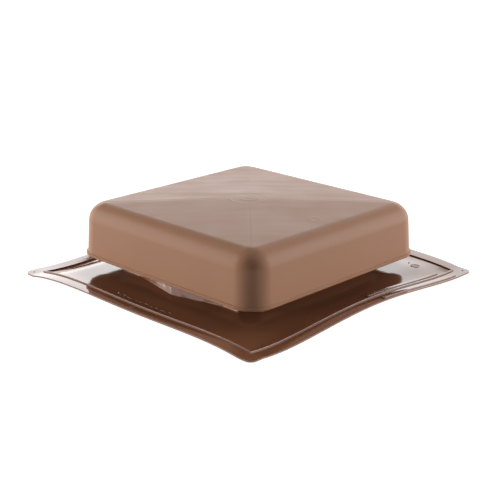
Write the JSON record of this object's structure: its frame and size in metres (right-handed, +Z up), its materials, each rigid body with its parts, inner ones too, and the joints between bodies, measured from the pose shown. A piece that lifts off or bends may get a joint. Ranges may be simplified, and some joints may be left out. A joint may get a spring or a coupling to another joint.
{
  "type": "static roof vent",
  "caption": "Square static roof vent: a hipped hood on legs over a slatted throat screen, on a wide nailing flange with a raised bead, slightly warped.",
  "frame": {"origin": "centre of the flange's footprint, at the height of the flange's lowest point", "axes": "+Z up out of the roof, -Y towards the ridge (the side with the prow), +X to the right seen from the front"},
  "size_m": [0.426, 0.426, 0.108],
  "materials": {
    "base": "glossy dark brown moulding",
    "throat_screen": "satin dark brown moulding",
    "hood": "satin light brown moulding"
  },
  "bodies": {
    "root": {"base": "base", "throat_screen": "throat_screen", "hood": "hood"}
  },
  "joints": []
}
